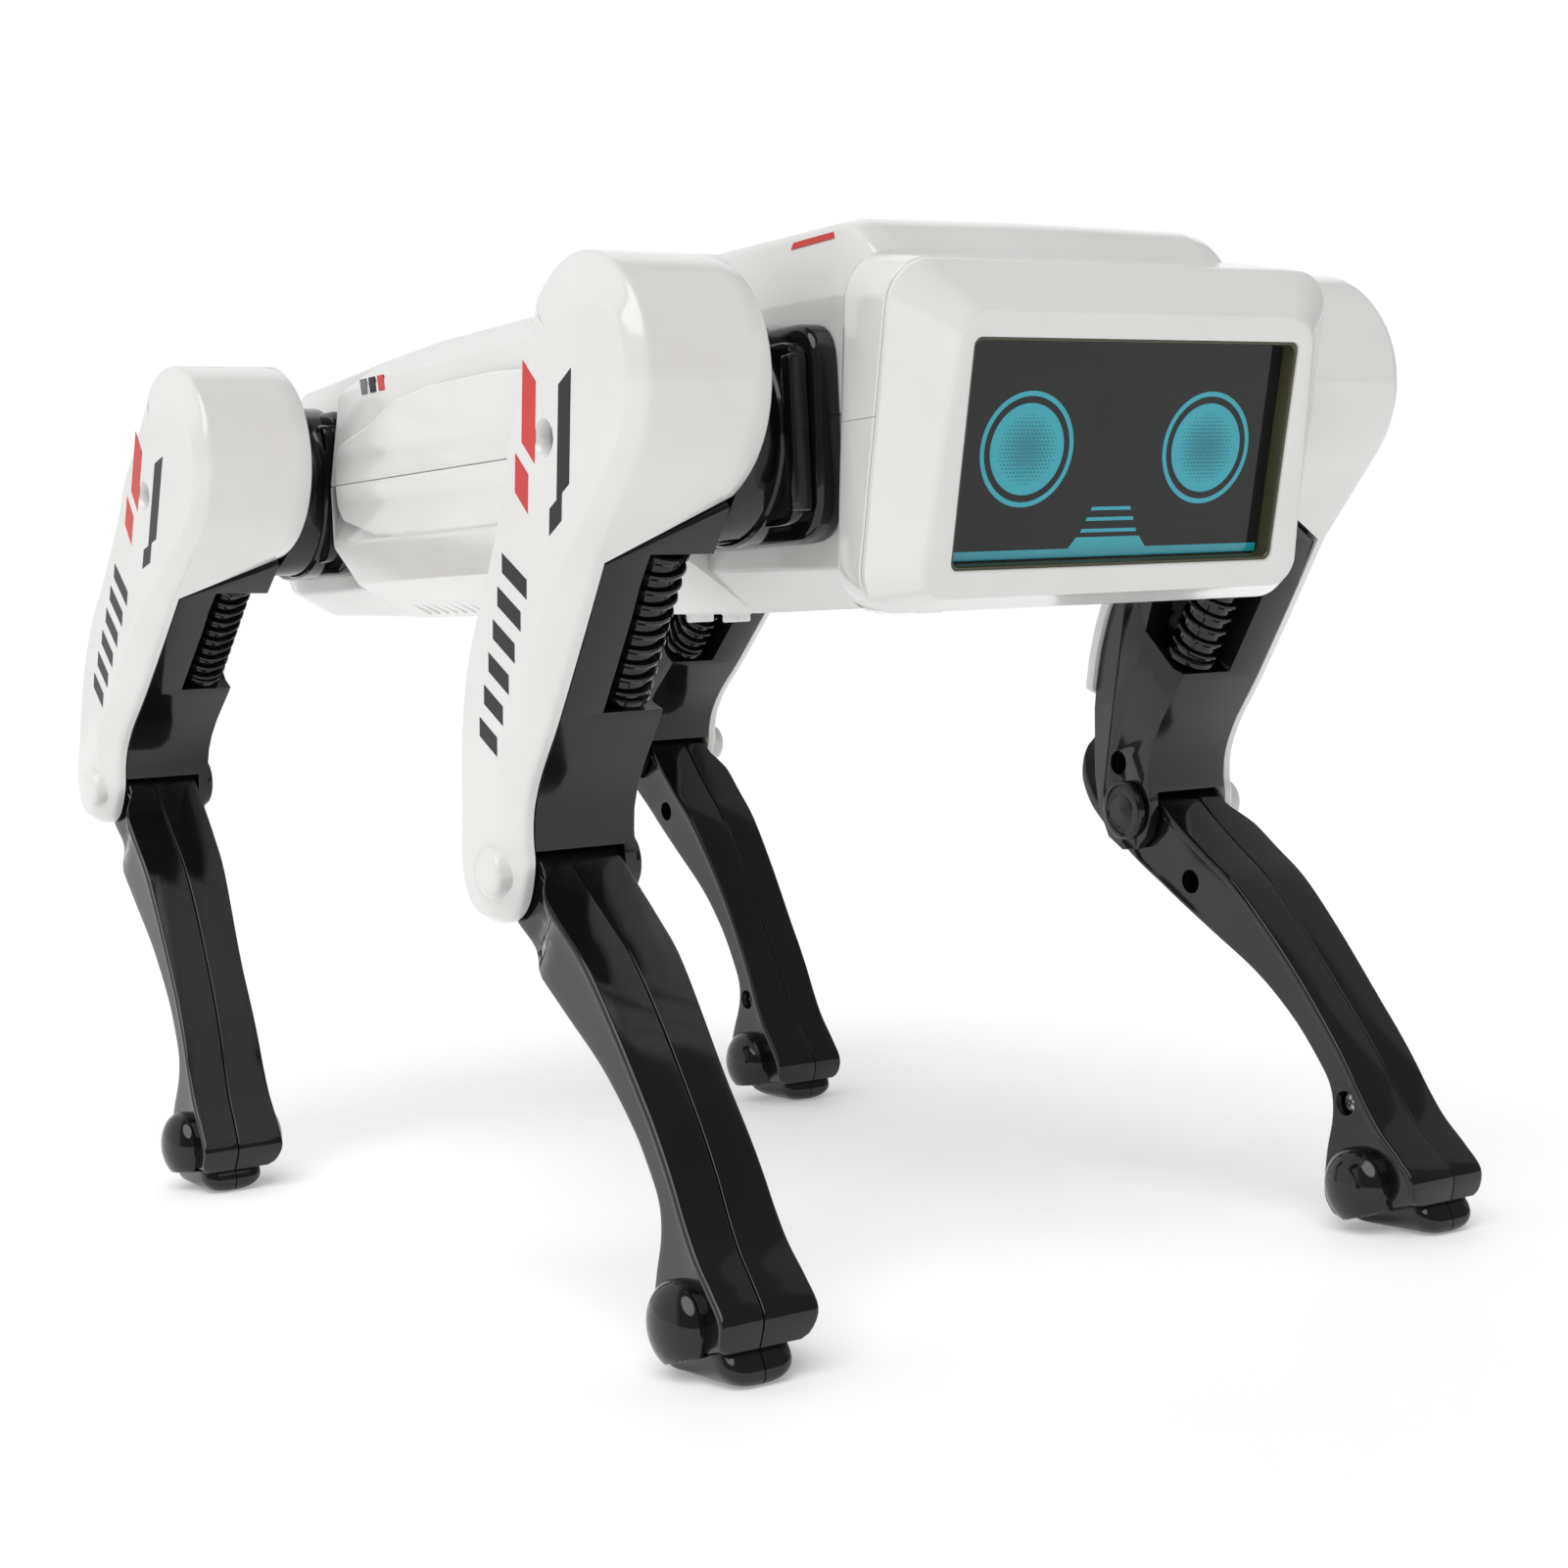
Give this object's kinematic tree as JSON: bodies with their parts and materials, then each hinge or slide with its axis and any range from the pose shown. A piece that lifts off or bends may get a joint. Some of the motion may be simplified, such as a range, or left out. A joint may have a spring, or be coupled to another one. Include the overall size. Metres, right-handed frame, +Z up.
{
  "type": "robot dog toy",
  "caption": "Toy robot dog with a long low body, a box head with a screen face, and bent legs with sprung thighs that swing at the hips.",
  "frame": {"origin": "on the ground plane, under the middle of the toy's outline", "axes": "+Z up, +Y from the head to the rear, +X to the toy's left side"},
  "size_m": [0.1878, 0.319, 0.2],
  "materials": {
    "shell_white": "glossy pearl white moulded plastic",
    "frame_black": "semi-gloss black moulded plastic",
    "sole_rubber": "matt black rubber",
    "screw_steel": "plain bright steel",
    "window_tint": "glossy dark tinted plastic",
    "face_print": "teal face print on black",
    "board_green": "green solder mask",
    "battery_wrap": "blue shrink wrap",
    "motor_grey": "grey moulded gearbox case"
  },
  "bodies": {
    "trunk": {"upper_shell": "shell_white", "lower_shell": "shell_white", "battery_door": "shell_white", "door_screw": "screw_steel", "battery_pack": "battery_wrap", "circuit_board": "board_green", "speaker": "motor_grey", "charge_socket": "frame_black", "head_upper_shell": "shell_white", "head_lower_shell": "shell_white", "head_bezel": "shell_white", "screen_window": "window_tint", "face_panel": "face_print", "led_board": "board_green", "hip_housing_fr": "frame_black", "hip_housing_fl": "frame_black", "hip_housing_rr": "frame_black", "hip_housing_rl": "frame_black", "hip_motor_fr": "motor_grey", "hip_motor_fl": "motor_grey", "hip_motor_rr": "motor_grey", "hip_motor_rl": "motor_grey"},
    "power_switch": {"power_switch": "frame_black"},
    "thigh_fr": {"thigh_cover_fr": "shell_white", "thigh_frame_fr": "frame_black", "shock_spring_fr": "frame_black", "hip_shaft_fr": "screw_steel", "hip_screw_fr": "screw_steel", "knee_pin_fr": "frame_black"},
    "shin_fr": {"shin_outer_fr": "frame_black", "shin_inner_fr": "frame_black", "sole_fr": "sole_rubber"},
    "thigh_fl": {"thigh_cover_fl": "shell_white", "thigh_frame_fl": "frame_black", "shock_spring_fl": "frame_black", "hip_shaft_fl": "screw_steel", "hip_screw_fl": "screw_steel", "knee_pin_fl": "frame_black"},
    "shin_fl": {"shin_outer_fl": "frame_black", "shin_inner_fl": "frame_black", "sole_fl": "sole_rubber"},
    "thigh_rr": {"thigh_cover_rr": "shell_white", "thigh_frame_rr": "frame_black", "shock_spring_rr": "frame_black", "hip_shaft_rr": "screw_steel", "hip_screw_rr": "screw_steel", "knee_pin_rr": "frame_black"},
    "shin_rr": {"shin_outer_rr": "frame_black", "shin_inner_rr": "frame_black", "sole_rr": "sole_rubber"},
    "thigh_rl": {"thigh_cover_rl": "shell_white", "thigh_frame_rl": "frame_black", "shock_spring_rl": "frame_black", "hip_shaft_rl": "screw_steel", "hip_screw_rl": "screw_steel", "knee_pin_rl": "frame_black"},
    "shin_rl": {"shin_outer_rl": "frame_black", "shin_inner_rl": "frame_black", "sole_rl": "sole_rubber"}
  },
  "joints": [
    {"name": "hip_joint_fr", "type": "hinge", "parent": "trunk", "child": "thigh_fr", "pos_m": [-0.0733, -0.10135, 0.162], "axis": [1, 0, 0], "range_deg": [-60, 25]},
    {"name": "hip_joint_fl", "type": "hinge", "parent": "trunk", "child": "thigh_fl", "pos_m": [0.0733, -0.10135, 0.162], "axis": [1, 0, 0], "range_deg": [-60, 25]},
    {"name": "hip_joint_rr", "type": "hinge", "parent": "trunk", "child": "thigh_rr", "pos_m": [-0.0733, 0.09465, 0.164], "axis": [1, 0, 0], "range_deg": [-25, 50]},
    {"name": "hip_joint_rl", "type": "hinge", "parent": "trunk", "child": "thigh_rl", "pos_m": [0.0733, 0.09465, 0.164], "axis": [1, 0, 0], "range_deg": [-25, 50]},
    {"name": "knee_joint_fr", "type": "hinge", "parent": "thigh_fr", "child": "shin_fr", "pos_m": [-0.075, -0.07286, 0.08372], "axis": [1, 0, 0], "range_deg": [0, 30]},
    {"name": "knee_joint_fl", "type": "hinge", "parent": "thigh_fl", "child": "shin_fl", "pos_m": [0.075, -0.07286, 0.08372], "axis": [1, 0, 0], "range_deg": [0, 30]},
    {"name": "knee_joint_rr", "type": "hinge", "parent": "thigh_rr", "child": "shin_rr", "pos_m": [-0.075, 0.14051, 0.09446], "axis": [1, 0, 0], "range_deg": [0, 30]},
    {"name": "knee_joint_rl", "type": "hinge", "parent": "thigh_rl", "child": "shin_rl", "pos_m": [0.075, 0.14051, 0.09446], "axis": [1, 0, 0], "range_deg": [0, 30]},
    {"name": "power_switch_slide", "type": "slide", "parent": "trunk", "child": "power_switch", "axis": [0, 1, 0], "range_m": [0, 0.003]}
  ]
}
